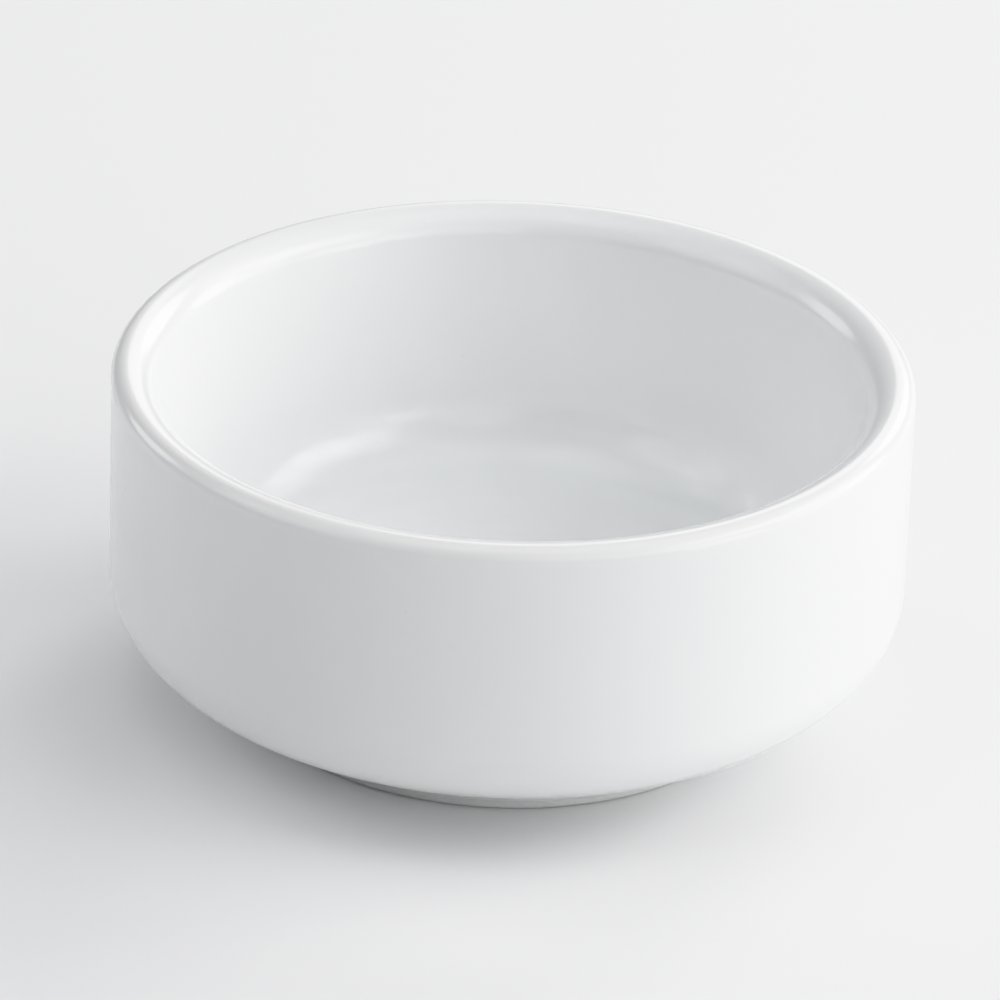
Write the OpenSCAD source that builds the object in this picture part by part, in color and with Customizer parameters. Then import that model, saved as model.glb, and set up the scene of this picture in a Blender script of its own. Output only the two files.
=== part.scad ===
// Small round sauce dish in white glazed porcelain.
// Upright outer wall, soft rim, lower edge curving in to a turned foot ring.
// Everything is turned about Z. The table is at z = 0 and the foot ring stands on it.
// The fired clay body is one solid. The glaze is a thin glassy coat that grips it face to face
// everywhere except on the bottom of the foot ring, which is wiped clean before firing so that
// the dish doesn't stick to its shelf. The bare ring parts the glaze in two: one coat over the
// whole dish, and one small coat inside the hollow under the base.

/* [Dish] */
// Outside diameter, over the glaze
dish_d = 72; // [68:0.5:78]
// Height from the table to the top of the rim
dish_h = 32; // [29:0.5:38]
// Rounding of the rim's outer shoulder
rim_out = 1.4; // [1:0.1:2]
// Rounding of the rim's inner shoulder
rim_in = 3; // [2:0.1:3.4]
// Lean of the inside of the wall from upright, degrees
wall_lean = 12; // [4:0.5:14]

/* [Lower curve] */
// Height at which the outer wall starts to curve in
curve_top = 11.7; // [11.2:0.1:13]
// How far in the lower curve would run if the foot didn't stop it
curve_in = 15; // [12:0.5:17]
// How far down the lower curve runs
curve_drop = 8.8; // [8:0.1:9.2]

/* [Floor of the dish] */
// Height of the floor at its edge
floor_z = 9; // [8:0.1:10]
// Radius of the curve between the wall and the floor
floor_curve = 8; // [6:0.1:10]
// Slope of the floor at its edge, degrees; the floor is a very shallow dish
floor_slope = 2; // [1:0.25:4]

/* [Foot ring] */
// Outer radius of the bare clay foot ring
foot_r = 24; // [22:0.25:26]
// Width of the foot ring
foot_w = 3.4; // [2.5:0.1:5]
// Rounding of the foot ring's two bottom edges
foot_edge = 0.5; // [0.3:0.05:0.7]
// Depth of the hollow under the base, over the glaze
hollow_z = 3.2; // [2.6:0.1:3.6]
// Rounding in the corner between the foot ring and the underside
foot_fillet = 0.8; // [0.5:0.05:0.9]

/* [Glaze] */
// Thickness of the glaze
glaze_t = 0.25; // [0.15:0.05:0.4]
// Height of the bare clay above the table, up to the edge of the glaze
bare_h = 0.8; // [0.7:0.05:0.9]
// Height over which the glaze thins out at its edge
glaze_feather = 0.3; // [0.1:0.05:0.3]

/* [Hidden] */
$fn = 180;

R = dish_d / 2;
out_c = [R - rim_out, dish_h - rim_out];    // centre of the rim's outer shoulder
in_c = [R - rim_out, dish_h - rim_in];      // centre of the rim's inner shoulder
foot_R = foot_r + glaze_t;                  // foot ring's outer radius over the glaze
foot_ri = foot_r - foot_w;                  // foot ring's inner radius, bare clay

// Lower curve: a quarter of an ellipse about curve_c, up to where the foot's fillet meets it
curve_c = [R - curve_in, curve_top];
function curve_p(a) = [curve_c[0] + curve_in * cos(a), curve_c[1] + curve_drop * sin(a)];
function curve_n(a) = let (n = [cos(a) / curve_in, sin(a) / curve_drop]) n / norm(n);
function short_of_foot(a) = curve_p(a)[0] + foot_fillet * curve_n(a)[0] < foot_R + foot_fillet;
function find_end(lo, hi, n) = let (m = (lo + hi) / 2)
    n == 0 ? m : short_of_foot(m) ? find_end(m, hi, n - 1) : find_end(lo, m, n - 1);
curve_end = find_end(-90, 0, 40);
end_n = curve_n(curve_end);
fillet_c = curve_p(curve_end) + foot_fillet * end_n;
fillet_a = atan2(-end_n[1], -end_n[0]);

// Curve between wall and floor
floor_cz = floor_z + floor_curve;
wall_p = [in_c[0] - rim_in * cos(wall_lean), in_c[1] + rim_in * sin(wall_lean)];
wall_s = (wall_p[1] + floor_curve * sin(wall_lean) - floor_cz) / cos(wall_lean);
floor_c = [wall_p[0] - sin(wall_lean) * wall_s - floor_curve * cos(wall_lean), floor_cz];
// The floor is an arc of this radius about a point on the axis
floor_R = floor_c[0] / sin(floor_slope) + floor_curve;
floor_top = floor_c[1] + (floor_R - floor_curve) * cos(floor_slope);

// Points along an arc of radius q about c, from angle a0 to a1 in n steps
function arc(c, q, a0, a1, n) =
    [for (i = [0:n]) let (a = a0 + (a1 - a0) * i / n) [c[0] + q * cos(a), c[1] + q * sin(a)]];

// The same points from last to first
function back(p) = [for (i = [len(p) - 1:-1:0]) p[i]];

// Surface from the foot ring's outer side up the wall, over the rim and down to the middle of
// the floor, at a depth d below the glaze's own surface
function dish_line(d) = concat(
    arc(fillet_c, foot_fillet + d, 180, fillet_a, 6),
    [for (i = [1:20]) let (a = curve_end * (1 - i / 20)) curve_p(a) - d * curve_n(a)],
    arc(out_c, rim_out - d, 0, 90, 12),
    arc(in_c, rim_in - d, 95, 180 - wall_lean, 16),
    arc(floor_c, floor_curve + d, -wall_lean, floor_slope - 90, 18),
    [for (i = [1:6]) let (a = floor_slope * (1 - i / 6))
        [(floor_R + d) * sin(a), floor_top - (floor_R + d) * cos(a)]]);

// Surface of the hollow under the base, from its middle to the foot ring's inner side
function base_line(d) = concat(
    [[0, hollow_z + d]],
    arc([foot_ri - glaze_t - foot_fillet, hollow_z - foot_fillet], foot_fillet + d, 90, 0, 6));

// The foot ring's bare bottom, from its inner side to its outer side
foot_line = concat(
    [[foot_ri, bare_h]],
    arc([foot_ri + foot_edge, foot_edge], foot_edge, 180, 270, 6),
    arc([foot_r - foot_edge, foot_edge], foot_edge, -90, 0, 6),
    [[foot_r, bare_h]]);

// Fired clay body with its foot ring
module porcelain_body() {
    color([0.93, 0.92, 0.89])
        rotate_extrude() polygon(concat(base_line(glaze_t), foot_line, dish_line(glaze_t)));
}

// Glaze over the outside, the rim and the inside
module glaze_coat() {
    color([0.96, 0.97, 0.97])
        rotate_extrude() polygon(concat(
            [[foot_r, bare_h], [foot_R, bare_h + glaze_feather]],
            dish_line(0), back(dish_line(glaze_t))));
}

// Glaze in the hollow under the base
module base_glaze() {
    color([0.95, 0.96, 0.96])
        rotate_extrude() polygon(concat(
            base_line(0),
            [[foot_ri - glaze_t, bare_h + glaze_feather], [foot_ri, bare_h]],
            back(base_line(glaze_t))));
}

porcelain_body();
glaze_coat();
base_glaze();
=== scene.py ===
import math

import bpy
import numpy as np
from mathutils import Matrix, Vector


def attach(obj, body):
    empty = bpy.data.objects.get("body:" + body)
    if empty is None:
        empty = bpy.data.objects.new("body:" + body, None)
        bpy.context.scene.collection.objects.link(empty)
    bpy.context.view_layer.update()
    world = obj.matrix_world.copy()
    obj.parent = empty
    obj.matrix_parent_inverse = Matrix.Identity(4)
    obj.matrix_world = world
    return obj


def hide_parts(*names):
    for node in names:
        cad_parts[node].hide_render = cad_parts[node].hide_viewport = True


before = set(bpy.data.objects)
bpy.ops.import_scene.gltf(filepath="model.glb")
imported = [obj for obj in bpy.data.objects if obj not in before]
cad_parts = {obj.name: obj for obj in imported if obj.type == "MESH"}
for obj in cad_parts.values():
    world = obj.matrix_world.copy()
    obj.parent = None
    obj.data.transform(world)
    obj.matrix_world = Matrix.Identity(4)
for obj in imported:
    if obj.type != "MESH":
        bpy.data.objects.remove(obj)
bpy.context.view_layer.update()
scene = bpy.context.scene

# ------------------------------------------------------------------ sizes, in millimetres, as in the CAD
R, H = 36.0, 32.0                 # outer radius and height, over the glaze
RIM_O, RIM_I = 1.4, 3.0           # rounding of the rim's outer and inner shoulder
LEAN = 12.0                       # lean of the inside of the wall, degrees
CURVE_TOP, CURVE_A, CURVE_B = 11.7, 15.0, 8.8     # lower curve: height it starts at, half-axes
FLOOR_Z, FLOOR_Q, FLOOR_SLOPE = 9.0, 8.0, 2.0     # floor: height of its edge, curve to the wall, slope
FOOT_R, FOOT_W, FOOT_EDGE, FOOT_FILLET = 24.0, 3.4, 0.5, 0.8
HOLLOW_Z = 3.2                    # hollow under the base
GLAZE, BARE, FEATHER = 0.25, 0.8, 0.3             # glaze thickness, bare clay on the foot, glaze edge

SEGMENTS = 256
HALF = SEGMENTS // 2
THETA = np.arange(SEGMENTS) * 2 * math.pi / SEGMENTS

FOOT_OUT = FOOT_R + GLAZE
FOOT_IN = FOOT_R - FOOT_W
OUT_C = np.array((R - RIM_O, H - RIM_O))
IN_C = np.array((R - RIM_O, H - RIM_I))


# ------------------------------------------------------------------ the turned profile
def polar(c, q, a):
    return np.array((c[0] + q * math.cos(math.radians(a)), c[1] + q * math.sin(math.radians(a))))


def arc(c, q, a0, a1, step):
    """Points on an arc about c, no further apart than step."""
    n = max(2, math.ceil(abs(math.radians(a1 - a0)) * q / step))
    return np.array([polar(c, q, a0 + (a1 - a0) * i / n) for i in range(n + 1)])


def line(a, b, step):
    a, b = np.asarray(a, float), np.asarray(b, float)
    n = max(1, math.ceil(np.linalg.norm(b - a) / step))
    return a + (b - a) * np.linspace(0, 1, n + 1)[:, None]


def oval(a):
    """Point and outward normal on the lower curve."""
    c, s = math.cos(a), math.sin(a)
    n = np.array((c / CURVE_A, s / CURVE_B))
    return np.array((R - CURVE_A + CURVE_A * c, CURVE_TOP + CURVE_B * s)), n / np.linalg.norm(n)


def foot_end():
    """The lower curve's angle where the foot's fillet meets it."""
    lo, hi = -math.pi / 2, 0.0
    for _ in range(60):
        m = (lo + hi) / 2
        p, n = oval(m)
        if p[0] + FOOT_FILLET * n[0] < FOOT_OUT + FOOT_FILLET:
            lo = m
        else:
            hi = m
    return lo


CURVE_END = foot_end()
END_P, END_N = oval(CURVE_END)
FILLET_C = END_P + FOOT_FILLET * END_N
FILLET_A = math.degrees(math.atan2(-END_N[1], -END_N[0]))
WALL_P = polar(IN_C, RIM_I, 180 - LEAN)
_t = math.radians(LEAN)
WALL_S = (WALL_P[1] + FLOOR_Q * math.sin(_t) - FLOOR_Z - FLOOR_Q) / math.cos(_t)
FLOOR_C = np.array((WALL_P[0] - math.sin(_t) * WALL_S - FLOOR_Q * math.cos(_t), FLOOR_Z + FLOOR_Q))
_f = math.radians(FLOOR_SLOPE)
FLOOR_R = FLOOR_C[0] / math.sin(_f) + FLOOR_Q
FLOOR_TOP = FLOOR_C[1] + (FLOOR_R - FLOOR_Q) * math.cos(_f)


def dish_line(d, k=1.0):
    """The dish's skin from the foot's outer side over the rim to the middle of the floor, at a depth d
    below the glaze's surface, as named runs of points. k coarsens the steps."""
    n = max(6, math.ceil(21 / (0.42 * k)))
    curve = []
    for i in range(n + 1):
        p, nn = oval(CURVE_END * (1 - i / n))
        curve.append(p - d * nn)
    wall_top = np.array((R - d, H - RIM_O))
    fillet = arc(FLOOR_C, FLOOR_Q + d, -LEAN, FLOOR_SLOPE - 90, 0.36 * k)
    m = max(8, math.ceil(FLOOR_C[0] / (0.62 * k)))
    floor = np.array([((FLOOR_R + d) * math.sin(_f * (1 - i / m)), FLOOR_TOP - (FLOOR_R + d) * math.cos(_f * (1 - i / m)))
                      for i in range(m + 1)])
    rim_in = arc(IN_C, RIM_I - d, 90, 180 - LEAN, 0.17 * k)
    return [
        ("foot_fillet", arc(FILLET_C, FOOT_FILLET + d, 180, FILLET_A, 0.16 * k)),
        ("curve", np.array(curve)),
        ("wall", line(curve[-1], wall_top, 0.6 * k)),
        ("rim_out", arc(OUT_C, RIM_O - d, 0, 90, 0.15 * k)),
        ("rim_in", rim_in),
        ("inner", line(rim_in[-1], fillet[0], 0.6 * k)),
        ("fillet", fillet),
        ("floor", floor),
    ]


def base_line(d, k=1.0):
    """The skin of the hollow under the base, from its middle to the foot's inner side."""
    edge = FOOT_IN - GLAZE - FOOT_FILLET
    return [
        ("base", line((0, HOLLOW_Z + d), (edge, HOLLOW_Z + d), 0.8 * k)),
        ("base_fillet", arc((edge, HOLLOW_Z - FOOT_FILLET), FOOT_FILLET + d, 90, 0, 0.16 * k)),
    ]


def join(runs):
    """One line of points from runs, without doubled ends, and the run each point belongs to."""
    pts, tag = [], []
    for name, run in runs:
        for p in run:
            if pts and np.linalg.norm(np.asarray(p) - pts[-1]) < 1e-6:
                continue
            pts.append(np.asarray(p, float))
            tag.append(name)
    return np.array(pts), tag


def normals(pts):
    """Normals of the profile, pointing out of the solid on its right-hand side as the line runs."""
    t = np.gradient(pts, axis=0)
    t /= np.linalg.norm(t, axis=1)[:, None]
    return np.stack((t[:, 1], -t[:, 0]), 1)


def lengths(pts):
    return np.concatenate(([0.0], np.cumsum(np.linalg.norm(np.diff(pts, axis=0), axis=1))))


def ease(x, a, b):
    t = np.clip((x - a) / (b - a), 0, 1)
    return t * t * (3 - 2 * t)


# ------------------------------------------------------------------ turning a profile into a mesh
def lathe(name, rr, zz, islands, attributes):
    """A closed turned mesh. rr and zz hold a row of radii and heights, in millimetres, for each point of the
    profile; a row of zero radius is one point on the axis. islands lay out the texture map: (first row,
    last row, kind, u, v, scale), in millimetres on a sheet of MAP_SIDE."""
    rows = len(rr)
    on_axis = np.all(rr < 1e-9, axis=1)
    start, count = [], 0
    for i in range(rows):
        start.append(count)
        count += 1 if on_axis[i] else SEGMENTS
    co = np.zeros((count, 3))
    fields = {a: np.zeros(count, np.float32) for a in attributes}
    for i in range(rows):
        w = slice(start[i], start[i] + (1 if on_axis[i] else SEGMENTS))
        co[w, 0] = (rr[i] * np.cos(THETA))[: 1 if on_axis[i] else None]
        co[w, 1] = (rr[i] * np.sin(THETA))[: 1 if on_axis[i] else None]
        co[w, 2] = zz[i][: 1 if on_axis[i] else None]
        for a, values in attributes.items():
            fields[a][w] = values[i][: 1 if on_axis[i] else None]
    mid = np.stack((rr.mean(1), zz.mean(1)), 1)
    s = lengths(mid)
    faces, uvs = [], []
    for i in range(rows - 1):
        if on_axis[i] and on_axis[i + 1]:
            continue                # nothing spans two points on the axis
        kind, u0, v0, scale, i0, i1 = next((k, u, v, c, a, b) for a, b, k, u, v, c in islands if a <= i < b)

        def at(j, k, side):
            """Place of the profile's point j, at step k, on the map; side says which end of the face it is."""
            if kind == "disc":
                q = abs(s[j] - s[i1 if on_axis[i1] else i0]) * scale
                a = (k + side) * 2 * math.pi / SEGMENTS
                return u0 + q * math.cos(a), v0 + q * math.sin(a)
            span = (s[i1] - s[i0]) * scale
            part = k // HALF
            return (u0 + (k % HALF + side) / HALF * 113.1 * scale,
                    v0 + (s[j] - s[i0]) * scale + part * (span + 1.5))

        for k in range(SEGMENTS):
            n = (k + 1) % SEGMENTS
            if on_axis[i]:
                faces.append((start[i], start[i + 1] + n, start[i + 1] + k))
                uvs += [at(i, k, 0.5), at(i + 1, k, 1), at(i + 1, k, 0)]
            elif on_axis[i + 1]:
                faces.append((start[i] + k, start[i] + n, start[i + 1]))
                uvs += [at(i, k, 0), at(i, k, 1), at(i + 1, k, 0.5)]
            else:
                faces.append((start[i] + k, start[i] + n, start[i + 1] + n, start[i + 1] + k))
                uvs += [at(i, k, 0), at(i, k, 1), at(i + 1, k, 1), at(i + 1, k, 0)]
    mesh = bpy.data.meshes.new(name)
    mesh.from_pydata((co * 1e-3).tolist(), [], faces)
    mesh.update()
    mesh.polygons.foreach_set("use_smooth", [True] * len(mesh.polygons))
    for a, values in fields.items():
        mesh.attributes.new(a, "FLOAT", "POINT").data.foreach_set("value", values)
    layer = mesh.uv_layers.new(name="OFBake")
    layer.data.foreach_set("uv", (np.array(uvs) / MAP_SIDE).ravel())
    mesh.set_sharp_from_angle(angle=math.radians(55))
    obj = bpy.data.objects.new(name, mesh)
    scene.collection.objects.link(obj)
    return obj


MAP_SIDE = 164.0
ONES = np.ones(SEGMENTS)


def waves(s, parts):
    """A slow unevenness over the surface, from 0 to 1: sums of sines of the angle and the way along the profile."""
    total = np.zeros((len(s), SEGMENTS))
    weight = 0.0
    for amount, turns, along, phase in parts:
        total += amount * (1 + np.sin(turns * THETA[None, :] + along * s[:, None] + phase)) / 2
        weight += amount
    return total / weight


# ------------------------------------------------------------------ glaze over the whole dish
def make_glaze():
    lip = [(FOOT_R + GLAZE * math.sin(a), BARE + 1.4 * FEATHER * (1 - math.cos(a))) for a in np.linspace(0, math.pi / 2, 9)]
    skin = dish_line(0.0)
    side = line(lip[-1], skin[0][1][0], 0.3)
    pts, tag = join([("lip", lip), ("side", side)] + skin)
    tag = np.array(tag)
    s, nrm = lengths(pts), normals(pts)
    crest = s[np.argmax(pts[:, 1])]
    # hand work: the wall is a little out of round, the rim rises and falls by a hair, and the turned floor
    # keeps faint rings. Every change goes into the glaze's own thickness.
    out = ease(pts[:, 1], 3.0, 9.0) * ease(crest - s, 0.3, 4.0)
    inn = ease(s - crest, 0.5, 5.0)
    sink = out[:, None] * (0.012 + 0.075 * waves(s, [(1.0, 2, 0.0, 0.7), (0.55, 3, 0.045, 2.1), (0.35, 5, -0.09, 4.0), (0.2, 8, 0.13, 1.0)]))
    sink += inn[:, None] * (0.07 * waves(s, [(0.8, 2, 0.02, 3.6), (0.6, 3, -0.05, 0.4), (0.45, 6, 0.08, 2.8), (0.25, 9, -0.15, 5.0)]))
    on_floor = ease(s, s[tag == "fillet"][0], s[tag == "floor"][0])
    rings = 0.0045 * (1 + np.cos(2 * math.pi * pts[:, 0] / 2.6)) * on_floor * ease(pts[:, 0], 0.0, 4.0)
    sink += rings[:, None] * ONES
    rr = pts[:, 0, None] - sink * nrm[:, 0, None]
    zz = pts[:, 1, None] - sink * nrm[:, 1, None]
    near_rim = np.exp(-((s - crest) / 7.0) ** 2)
    dip = waves(np.zeros(1), [(1.0, 2, 0, 1.2), (0.5, 3, 0, 4.4), (0.3, 5, 0, 0.3)])[0]
    zz -= 0.11 * near_rim[:, None] * (dip - dip.min())[None, :]
    # the edge of the glaze on the foot wanders a little
    at_foot = np.exp(-((s - s[0]) / 0.5) ** 2)
    run = waves(np.zeros(1), [(1.0, 3, 0, 0.2), (0.8, 7, 0, 2.0), (0.6, 13, 0, 4.1), (0.4, 29, 0, 1.3)])[0]
    zz += 0.16 * at_foot[:, None] * run[None, :]
    rr[-1] = 0.0
    # where the glaze runs thin, over the rim and at its edge, and where it gathers, in the hollow curves
    wob = waves(s, [(1.0, 3, 0.3, 0.9), (0.7, 7, -0.4, 2.2), (0.5, 11, 0.7, 5.1)])
    thin = np.exp(-((s - crest + 0.3) / 1.1) ** 2)[:, None] * (0.55 + 0.45 * wob)
    thin += np.exp(-((s - s[0]) / 0.45) ** 2)[:, None] * (0.7 + 0.3 * wob)
    low = s[tag == "fillet"]
    pool = np.exp(-((s - (0.25 * low[0] + 0.75 * low[-1])) / 4.5) ** 2)[:, None] * (0.6 + 0.4 * wob)
    foot = s[tag == "foot_fillet"]
    pool += np.exp(-((s - foot.mean()) / 0.9) ** 2)[:, None] * (0.7 + 0.3 * wob)
    # the hidden face against the clay
    bpts, _ = join([(n, q[::-1]) for n, q in dish_line(GLAZE, 3.0)[::-1]])
    back = np.array([p for p in bpts] + [(FOOT_R, (FILLET_C[1] + BARE) / 2)])
    rr = np.vstack((rr, back[:, 0, None] * ONES, rr[:1]))
    zz = np.vstack((zz, back[:, 1, None] * ONES, zz[:1]))
    rr[len(pts)] = 0.0
    hidden = np.zeros((len(back) + 1, SEGMENTS))
    rim_row, floor_row = int(np.argmax(pts[:, 1])), int(np.argmax(tag == "floor"))
    b_floor = len(pts) + int(np.argmin(abs(back[:, 0] - FLOOR_C[0])))
    b_rim = len(pts) + int(np.argmax(back[:, 1]))
    last = len(rr) - 1
    a_len, b_len = s[rim_row], s[floor_row] - s[rim_row]
    top = 1.5 + 2 * (a_len + 1.5)
    islands = [
        (0, rim_row, "strip", 1.5, 1.5, 1.0),
        (rim_row, floor_row, "strip", 1.5, top, 1.0),
        (floor_row, len(pts) - 1, "disc", 139.5, 24.0, 1.0),
        (len(pts), b_floor, "disc", 126.0, 56.0, 0.4),
        (b_floor, b_rim, "strip", 117.0, 70.0, 0.36),
        (b_rim, last, "strip", 117.0, 98.0, 0.36),
    ]
    return shell("glaze_coat", rr, zz, islands, {"thin": np.vstack((thin, hidden)), "pool": np.vstack((pool, hidden))})


def shell(name, rr, zz, islands, attributes):
    """A turned mesh whose last row is its first one again: the doubled points are welded."""
    obj = lathe(name, rr, zz, islands, attributes)
    if np.allclose(rr[0], rr[-1]) and np.allclose(zz[0], zz[-1]) and rr[0][0] > 0:
        import bmesh
        bm = bmesh.new()
        bm.from_mesh(obj.data)
        bmesh.ops.remove_doubles(bm, verts=bm.verts, dist=1e-7)
        bm.to_mesh(obj.data)
        bm.free()
        obj.data.set_sharp_from_angle(angle=math.radians(55))
    return obj


# ------------------------------------------------------------------ fired clay, bare on the foot ring
def make_body():
    runs = base_line(GLAZE, 2.0)
    side_in = line((FOOT_IN, HOLLOW_Z - FOOT_FILLET), (FOOT_IN, FOOT_EDGE), 0.12)
    edge_in = arc((FOOT_IN + FOOT_EDGE, FOOT_EDGE), FOOT_EDGE, 180, 270, 0.06)
    flat = line((FOOT_IN + FOOT_EDGE, 0), (FOOT_R - FOOT_EDGE, 0), 0.055)
    edge_out = arc((FOOT_R - FOOT_EDGE, FOOT_EDGE), FOOT_EDGE, -90, 0, 0.06)
    side_out = line((FOOT_R, FOOT_EDGE), (FOOT_R, FILLET_C[1]), 0.12)
    runs += [("side_in", side_in), ("edge_in", edge_in), ("flat", flat), ("edge_out", edge_out), ("side_out", side_out)]
    runs += dish_line(GLAZE, 3.0)
    pts, tag = join(runs)
    tag = np.array(tag)
    s, nrm = lengths(pts), normals(pts)
    # the wiped and trimmed ring: fine grooves from turning, and the two edges rubbed unevenly
    bare = np.isin(tag, ("edge_in", "flat", "edge_out"))
    groove = np.zeros((len(pts), SEGMENTS))
    q = pts[:, 0, None] + 0.05 * np.sin(2 * THETA[None, :] + 0.6)
    groove += 0.012 * (1 + np.cos(2 * math.pi * q / 0.47)) * (0.5 + 0.5 * np.sin(2 * math.pi * q / 1.9 + 0.8)) + 0.006 * (1 + np.cos(2 * math.pi * q / 0.29 + 1.0))
    groove *= (bare * ease(FOOT_EDGE - pts[:, 1], 0.0, 0.35))[:, None]
    rub = np.exp(-((s - s[tag == "edge_out"].mean()) / 0.35) ** 2) + np.exp(-((s - s[tag == "edge_in"].mean()) / 0.35) ** 2)
    groove += 0.035 * rub[:, None] * waves(s, [(1.0, 5, 0.4, 0.3), (0.7, 11, -0.9, 2.6), (0.6, 23, 1.5, 4.0)])
    rr = pts[:, 0, None] - groove * nrm[:, 0, None]
    zz = np.maximum(0.0, pts[:, 1, None] - groove * nrm[:, 1, None])
    rr[0] = rr[-1] = 0.0
    rubbed = ease(0.25 - zz, 0.0, 0.25) * bare[:, None] * (0.4 + 0.6 * waves(s, [(1.0, 2, 0.5, 1.0), (0.6, 9, -1.2, 0.0), (0.5, 17, 2.0, 3.0)]))
    first = int(np.argmax(tag == "side_in"))
    end = int(np.argmax(tag == "foot_fillet"))
    rim_row = int(np.argmax(pts[:, 1]))
    floor_row = int(np.argmax(tag == "floor"))
    islands = [
        (0, first, "disc", 26.0, 26.0, 1.0),
        (first, end, "strip", 1.5, 60.0, 1.4),
        (end, rim_row, "strip", 1.5, 96.0, 0.7),
        (rim_row, floor_row, "strip", 85.0, 96.0, 0.6),
        (floor_row, len(pts) - 1, "disc", 76.0, 26.0, 1.0),
    ]
    return lathe("porcelain_body", rr, zz, islands, {"rubbed": rubbed})


# ------------------------------------------------------------------ glaze in the hollow under the base
def make_base():
    skin = base_line(0.0)
    inner = FOOT_IN - GLAZE
    lip = [(FOOT_IN - GLAZE * math.cos(a), BARE + 1.4 * FEATHER * (1 - math.sin(a))) for a in np.linspace(0, math.pi / 2, 9)]
    side = line((inner, HOLLOW_Z - FOOT_FILLET), lip[0], 0.3)
    pts, tag = join(skin + [("side", side), ("lip", lip)])
    tag = np.array(tag)
    s = lengths(pts)
    # the glaze is poured here and lies a little unevenly
    lift = 0.06 * waves(s, [(1.0, 2, 0.16, 0.5), (0.8, 3, -0.22, 3.1), (0.5, 5, 0.4, 1.7)]) * (np.isin(tag, ("base",)) * ease(pts[:, 0], 0, 3.0))[:, None]
    rr = pts[:, 0, None] * ONES
    zz = pts[:, 1, None] + lift * ease(inner - FOOT_FILLET - pts[:, 0], 0.0, 3.0)[:, None]
    at_edge = np.exp(-((s - s[-1]) / 0.5) ** 2)
    run = waves(np.zeros(1), [(1.0, 4, 0, 0.9), (0.8, 9, 0, 3.0), (0.6, 15, 0, 0.4), (0.4, 31, 0, 2.3)])[0]
    zz += 0.16 * at_edge[:, None] * run[None, :]
    wob = waves(s, [(1.0, 3, 0.3, 0.2), (0.7, 8, -0.4, 1.2), (0.5, 13, 0.7, 4.1)])
    thin = at_edge[:, None] * (0.7 + 0.3 * wob)
    corner = s[tag == "base_fillet"]
    pool = np.exp(-((s - corner.mean() + 0.6) / 1.6) ** 2)[:, None] * (0.6 + 0.4 * wob)
    bpts, _ = join([(n, q[::-1]) for n, q in base_line(GLAZE, 2.0)[::-1]])
    back = np.vstack(([(FOOT_IN, (HOLLOW_Z - FOOT_FILLET + BARE) / 2)], bpts))
    rr = np.vstack((rr, back[:, 0, None] * ONES))
    zz = np.vstack((zz, back[:, 1, None] * ONES))
    rr[0] = rr[-1] = 0.0
    hidden = np.zeros((len(back), SEGMENTS))
    edge = int(np.argmax(tag == "base_fillet"))
    last = len(rr) - 1
    b_edge = len(pts) + int(np.argmax(back[:, 0] <= FOOT_IN - GLAZE - FOOT_FILLET + 1e-6))
    islands = [
        (0, edge, "disc", 50.0, 50.0, 2.3),
        (edge, len(pts) - 1, "strip", 1.5, 104.0, 1.4),
        (len(pts) - 1, b_edge, "strip", 1.5, 122.0, 0.6),
        (b_edge, last, "disc", 132.0, 50.0, 1.0),
    ]
    return lathe("base_glaze", rr, zz, islands, {"thin": np.vstack((thin, hidden)), "pool": np.vstack((pool, hidden))})


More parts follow.
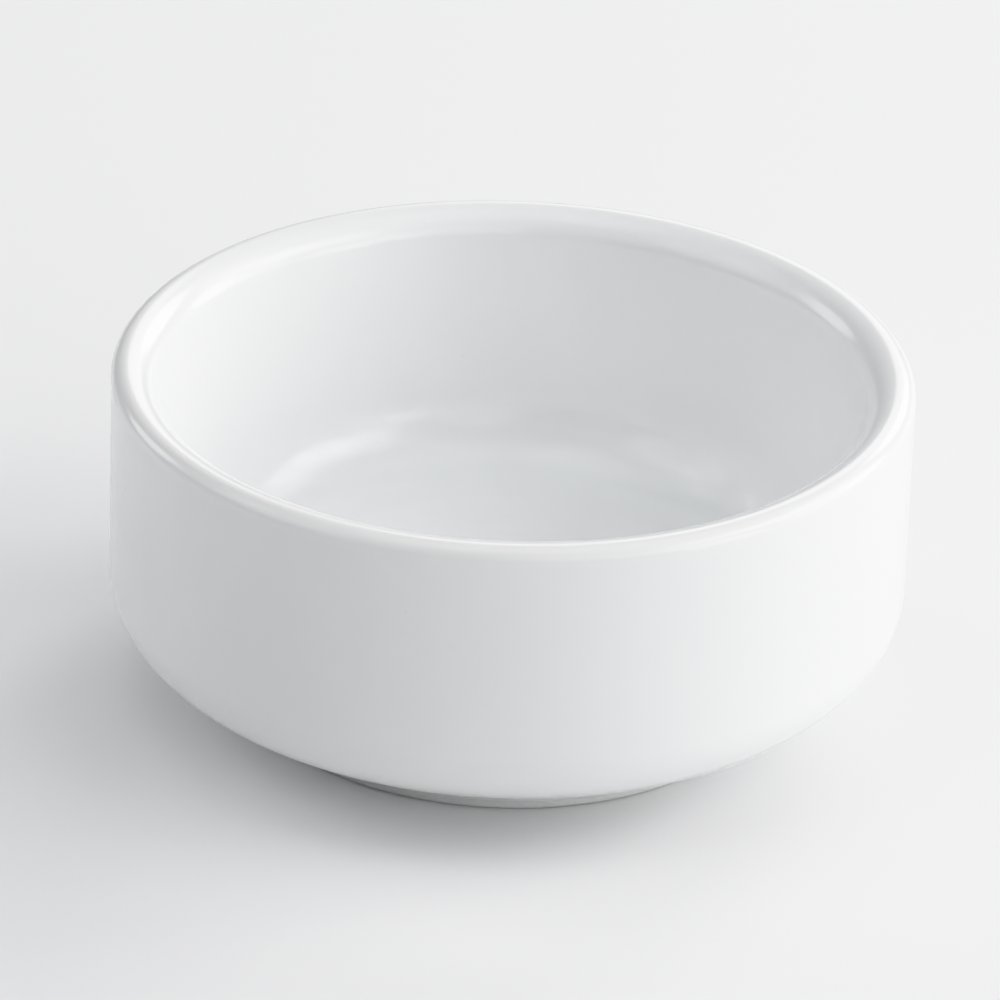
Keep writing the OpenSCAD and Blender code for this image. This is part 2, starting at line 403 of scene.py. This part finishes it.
# ------------------------------------------------------------------ materials
class Tree:
    """A short way to write a material's nodes."""

    def __init__(self, name):
        self.mat = bpy.data.materials.new(name)
        self.mat.use_nodes = True
        self.nt = self.mat.node_tree
        self.nt.nodes.clear()
        self.out = self.nt.nodes.new("ShaderNodeOutputMaterial")
        self.bsdf = self.nt.nodes.new("ShaderNodeBsdfPrincipled")
        self.nt.links.new(self.bsdf.outputs[0], self.out.inputs[0])
        self.coord = self.nt.nodes.new("ShaderNodeTexCoord").outputs["Object"]

    def put(self, socket, value):
        if isinstance(value, bpy.types.NodeSocket):
            self.nt.links.new(value, socket)
        else:
            socket.default_value = value

    def noise(self, scale, detail=2.0, rough=0.5, vector=None):
        n = self.nt.nodes.new("ShaderNodeTexNoise")
        n.inputs["Scale"].default_value = scale
        n.inputs["Detail"].default_value = detail
        n.inputs["Roughness"].default_value = rough
        self.put(n.inputs["Vector"], vector or self.coord)
        return n.outputs["Fac"]

    def voronoi(self, scale):
        n = self.nt.nodes.new("ShaderNodeTexVoronoi")
        n.inputs["Scale"].default_value = scale
        self.put(n.inputs["Vector"], self.coord)
        return n.outputs["Distance"], n.outputs["Color"]

    def attribute(self, name):
        n = self.nt.nodes.new("ShaderNodeAttribute")
        n.attribute_name = name
        return n.outputs["Fac"]

    def spread(self, value, a, b, lo=0.0, hi=1.0, smooth=True):
        n = self.nt.nodes.new("ShaderNodeMapRange")
        n.interpolation_type = "SMOOTHSTEP" if smooth else "LINEAR"
        self.put(n.inputs["Value"], value)
        for key, x in (("From Min", a), ("From Max", b), ("To Min", lo), ("To Max", hi)):
            n.inputs[key].default_value = x
        return n.outputs["Result"]

    def math(self, op, a, b=0.0):
        n = self.nt.nodes.new("ShaderNodeMath")
        n.operation = op
        self.put(n.inputs[0], a)
        self.put(n.inputs[1], b)
        return n.outputs[0]

    def mix(self, factor, a, b):
        n = self.nt.nodes.new("ShaderNodeMix")
        n.data_type = "RGBA"
        self.put(n.inputs["Factor"], factor)
        for key, x in (("A", a), ("B", b)):
            socket = next(i for i in n.inputs if i.name == key and i.type == "RGBA")
            self.put(socket, x if isinstance(x, bpy.types.NodeSocket) else (*x, 1.0))
        return next(o for o in n.outputs if o.type == "RGBA")

    def red(self, colour):
        n = self.nt.nodes.new("ShaderNodeSeparateColor")
        self.put(n.inputs[0], colour)
        return n.outputs[0]

    def bump(self, height, distance, strength=1.0, normal=None):
        n = self.nt.nodes.new("ShaderNodeBump")
        n.inputs["Strength"].default_value = strength
        n.inputs["Distance"].default_value = distance
        self.put(n.inputs["Height"], height)
        if normal is not None:
            self.put(n.inputs["Normal"], normal)
        return n.outputs[0]

    def set(self, **sockets):
        for key, value in sockets.items():
            self.put(self.bsdf.inputs[key.replace("_", " ")], (*value, 1.0) if isinstance(value, tuple) else value)


def glaze_material(name, white, shade, thin, pool, rough, ripple):
    t = Tree(name)
    slow = t.spread(t.noise(34.0, 3.0, 0.55), 0.34, 0.66)
    colour = t.mix(slow, white, shade)
    colour = t.mix(t.math("MULTIPLY", t.attribute("pool"), 0.4), colour, pool)
    colour = t.mix(t.math("MULTIPLY", t.attribute("thin"), 0.5), colour, thin)
    # a few pinholes and iron specks, as any fired glaze has
    near, cell = t.voronoi(240.0)
    speck = t.math("MULTIPLY", t.spread(near, 0.03, 0.055, 1.0, 0.0), t.math("GREATER_THAN", t.red(cell), 0.8))
    colour = t.mix(t.math("MULTIPLY", speck, 0.08), colour, (0.55, 0.53, 0.50))
    cloud = t.spread(t.noise(85.0, 4.0, 0.6), 0.3, 0.7, rough[0], rough[1])
    skin = t.bump(t.noise(130.0, 2.0, 0.4), ripple)
    skin = t.bump(t.noise(900.0, 2.0, 0.5), 0.0000022, 1.0, skin)
    skin = t.bump(t.math("MULTIPLY", speck, -1.0), 0.00001, 1.0, skin)
    t.set(Base_Color=colour, Roughness=cloud, Normal=skin, IOR=1.5)
    return t.mat


def clay_material():
    t = Tree("biscuit")
    slow = t.spread(t.noise(60.0, 4.0, 0.6), 0.32, 0.68)
    colour = t.mix(slow, (0.775, 0.78, 0.778), (0.72, 0.723, 0.715))
    grain = t.noise(2600.0, 3.0, 0.65)
    colour = t.mix(t.spread(grain, 0.55, 0.75, 0.0, 0.35), colour, (0.61, 0.605, 0.59))
    colour = t.mix(t.math("MULTIPLY", t.attribute("rubbed"), 0.35), colour, (0.53, 0.53, 0.525))
    skin = t.bump(grain, 0.00004)
    skin = t.bump(t.noise(700.0, 3.0, 0.6), 0.00006, 1.0, skin)
    t.set(Base_Color=colour, Roughness=t.spread(slow, 0.0, 1.0, 0.74, 0.88), Normal=skin, IOR=1.5)
    t.bsdf.inputs["Specular IOR Level"].default_value = 0.3
    return t.mat


glaze = make_glaze()
glaze.data.materials.append(glaze_material("glaze", (0.848, 0.852, 0.851), (0.828, 0.836, 0.838), (0.845, 0.832, 0.805),
                                           (0.79, 0.822, 0.826), (0.13, 0.2), 0.000016))
body = make_body()
body.data.materials.append(clay_material())
base = make_base()
base.data.materials.append(glaze_material("base_glaze", (0.838, 0.844, 0.843), (0.81, 0.82, 0.822), (0.83, 0.812, 0.78),
                                          (0.765, 0.802, 0.808), (0.14, 0.26), 0.00003))
for piece, node, slot in ((glaze, "glaze_coat", "glaze"), (body, "porcelain_body", "biscuit"), (base, "base_glaze", "base_glaze")):
    piece.name = node + "_skin"
    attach(piece, "root")
    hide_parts(node)

# ------------------------------------------------------------------ floor
fm = bpy.data.meshes.new("floor")
fm.from_pydata([(x, y, 0.0) for x, y in ((-5, -5), (5, -5), (5, 5), (-5, 5))], [], [(0, 1, 2, 3)])
floor = bpy.data.objects.new("floor", fm)
scene.collection.objects.link(floor)
PALE = (0.91, 0.915, 0.92)         # the backdrop far from the dish
ft = Tree("floor")
ft.set(Base_Color=(0.86, 0.86, 0.86), Roughness=0.7)
ft.bsdf.inputs["Specular IOR Level"].default_value = 0.2
# far out, where the lamps no longer reach, the floor is seen in the backdrop's own colour
dist = ft.nt.nodes.new("ShaderNodeVectorMath")
dist.operation = "LENGTH"
ft.put(dist.inputs[0], ft.coord)
seen = ft.math("MULTIPLY", ft.spread(dist.outputs["Value"], 0.22, 0.9), ft.nt.nodes.new("ShaderNodeLightPath").outputs["Is Camera Ray"])
far = ft.nt.nodes.new("ShaderNodeEmission")
ft.put(far.inputs["Color"], (*PALE, 1.0))
blend = ft.nt.nodes.new("ShaderNodeMixShader")
for socket, value in zip(blend.inputs, (seen, ft.bsdf.outputs[0], far.outputs[0])):
    ft.put(socket, value)
ft.put(ft.out.inputs[0], blend.outputs[0])
fm.materials.append(ft.mat)

# ------------------------------------------------------------------ camera, at the photograph's viewing angle
ELEVATION, ROLL, CAM_D = math.radians(27.2), math.radians(1.9), 0.72
PX_PER_R, CENTRE = 399.0, (508.5, 525.0)     # image pixels per dish radius, and where the dish's middle lands
back = Vector((0, -math.cos(ELEVATION), math.sin(ELEVATION)))
right = Vector((1, 0, 0))
up = back.cross(right)
r2 = right * math.cos(ROLL) + up * math.sin(ROLL)
u2 = up * math.cos(ROLL) - right * math.sin(ROLL)
px = R * 1e-3 / PX_PER_R
cam_data = bpy.data.cameras.new("camera")
cam_data.sensor_width = 36.0
cam_data.lens = CAM_D / px / 1000 * 36.0
cam_data.clip_start, cam_data.clip_end = 0.01, 50.0
cam = bpy.data.objects.new("camera", cam_data)
scene.collection.objects.link(cam)
m = Matrix((r2, u2, back)).transposed().to_4x4()
m.translation = Vector((0, 0, H * 0.5e-3)) + back * CAM_D - r2 * px * (CENTRE[0] - 500) + u2 * px * (CENTRE[1] - 500)
cam.matrix_world = m
scene.camera = cam

# ------------------------------------------------------------------ light: soft boxes round the dish
# azimuth 0 is the dish's right, 90 behind it, 270 the camera's side; degrees, diameter in metres, watts
KEY, FILL = (0.996, 0.991, 1.0), (0.974, 0.983, 1.0)
LIGHTS = [
    # the bright side, to the right and the front right
    (310, 20, 0.3, 0.570, KEY), (325, 28, 0.36, 0.225, KEY), (325, 35, 0.36, 0.300, KEY), (325, 49, 0.36, 0.162, KEY),
    (340, 35, 0.36, 0.359, KEY), (340, 42, 0.36, 0.478, KEY), (355, 28, 0.36, 0.470, KEY), (355, 35, 0.36, 0.638, KEY),
    (10, 28, 0.36, 0.288, KEY), (10, 35, 0.36, 0.380, KEY), (25, 35, 0.36, 0.612, KEY), (60, 25, 0.35, 2.148, KEY),
    (330, 8, 0.4, 1.394, KEY), (0, 8, 0.4, 1.138, KEY), (22, 14, 0.35, 2.131, KEY),
    # the front
    (285, 30, 0.5, 0.593, FILL), (225, 36, 0.6, 0.465, FILL),
    # overhead
    (0, 90, 0.8, 0.969, FILL), (180, 66, 0.8, 1.172, FILL), (270, 66, 0.8, 0.374, FILL), (0, 66, 0.8, 0.631, FILL),
    # the left and the back
    (195, 36, 0.6, 1.032, FILL), (165, 36, 0.6, 0.533, FILL), (150, 20, 0.4, 1.033, FILL), (80, 25, 0.35, 0.904, FILL),
]
AIM, LAMP_D = Vector((0, 0, 0.016)), 0.9
for az, el, size, power, colour in LIGHTS:
    d = Vector((math.cos(math.radians(el)) * math.cos(math.radians(az)), math.cos(math.radians(el)) * math.sin(math.radians(az)), math.sin(math.radians(el))))
    name = "lamp_%d_%d" % (az, el)
    ld = bpy.data.lights.new(name, "AREA")
    ld.shape, ld.size, ld.energy, ld.color = "DISK", size, power, colour
    lo = bpy.data.objects.new(name, ld)
    scene.collection.objects.link(lo)
    lo.location = AIM + d * LAMP_D
    lo.rotation_mode = "QUATERNION"
    lo.rotation_quaternion = d.to_track_quat("Z", "Y")
    lo.visible_camera = False

# the backdrop: pale to look at, and without light of its own
world = bpy.data.worlds.new("world")
scene.world = world
world.use_nodes = True
wt = world.node_tree
wt.nodes["Background"].inputs["Color"].default_value = (0.97, 0.985, 1.0, 1.0)
wt.nodes["Background"].inputs["Strength"].default_value = 0.0
backdrop = wt.nodes.new("ShaderNodeBackground")
backdrop.inputs["Color"].default_value = (*PALE, 1.0)
blend = wt.nodes.new("ShaderNodeMixShader")
wt.links.new(wt.nodes.new("ShaderNodeLightPath").outputs["Is Camera Ray"], blend.inputs[0])
wt.links.new(wt.nodes["Background"].outputs[0], blend.inputs[1])
wt.links.new(backdrop.outputs[0], blend.inputs[2])
wt.links.new(blend.outputs[0], wt.nodes["World Output"].inputs["Surface"])

# the picture's tones: straight up to SHOULDER, then rolling off softly towards white, as a camera does
SHOULDER = 0.7


def tone(v):
    if v <= SHOULDER:
        return v
    return SHOULDER + (1 - SHOULDER) * (1 - math.exp(-(v - SHOULDER) / (1 - SHOULDER)))


view = scene.view_settings
view.view_transform = "Standard"
view.use_curve_mapping = True
view.curve_mapping.white_level = (2.0, 2.0, 2.0)
tones = view.curve_mapping.curves[3]
tones.points[-1].location = (1.0, tone(2.0))
for v in (0.2, 0.4, 0.6, 0.68, 0.76, 0.85, 0.95, 1.05, 1.15, 1.3, 1.5, 1.75):
    tones.points.new(v / 2, tone(v))
view.curve_mapping.update()
scene.cycles.use_denoising = True
scene.cycles.max_bounces = 8

bpy.context.view_layer.update()
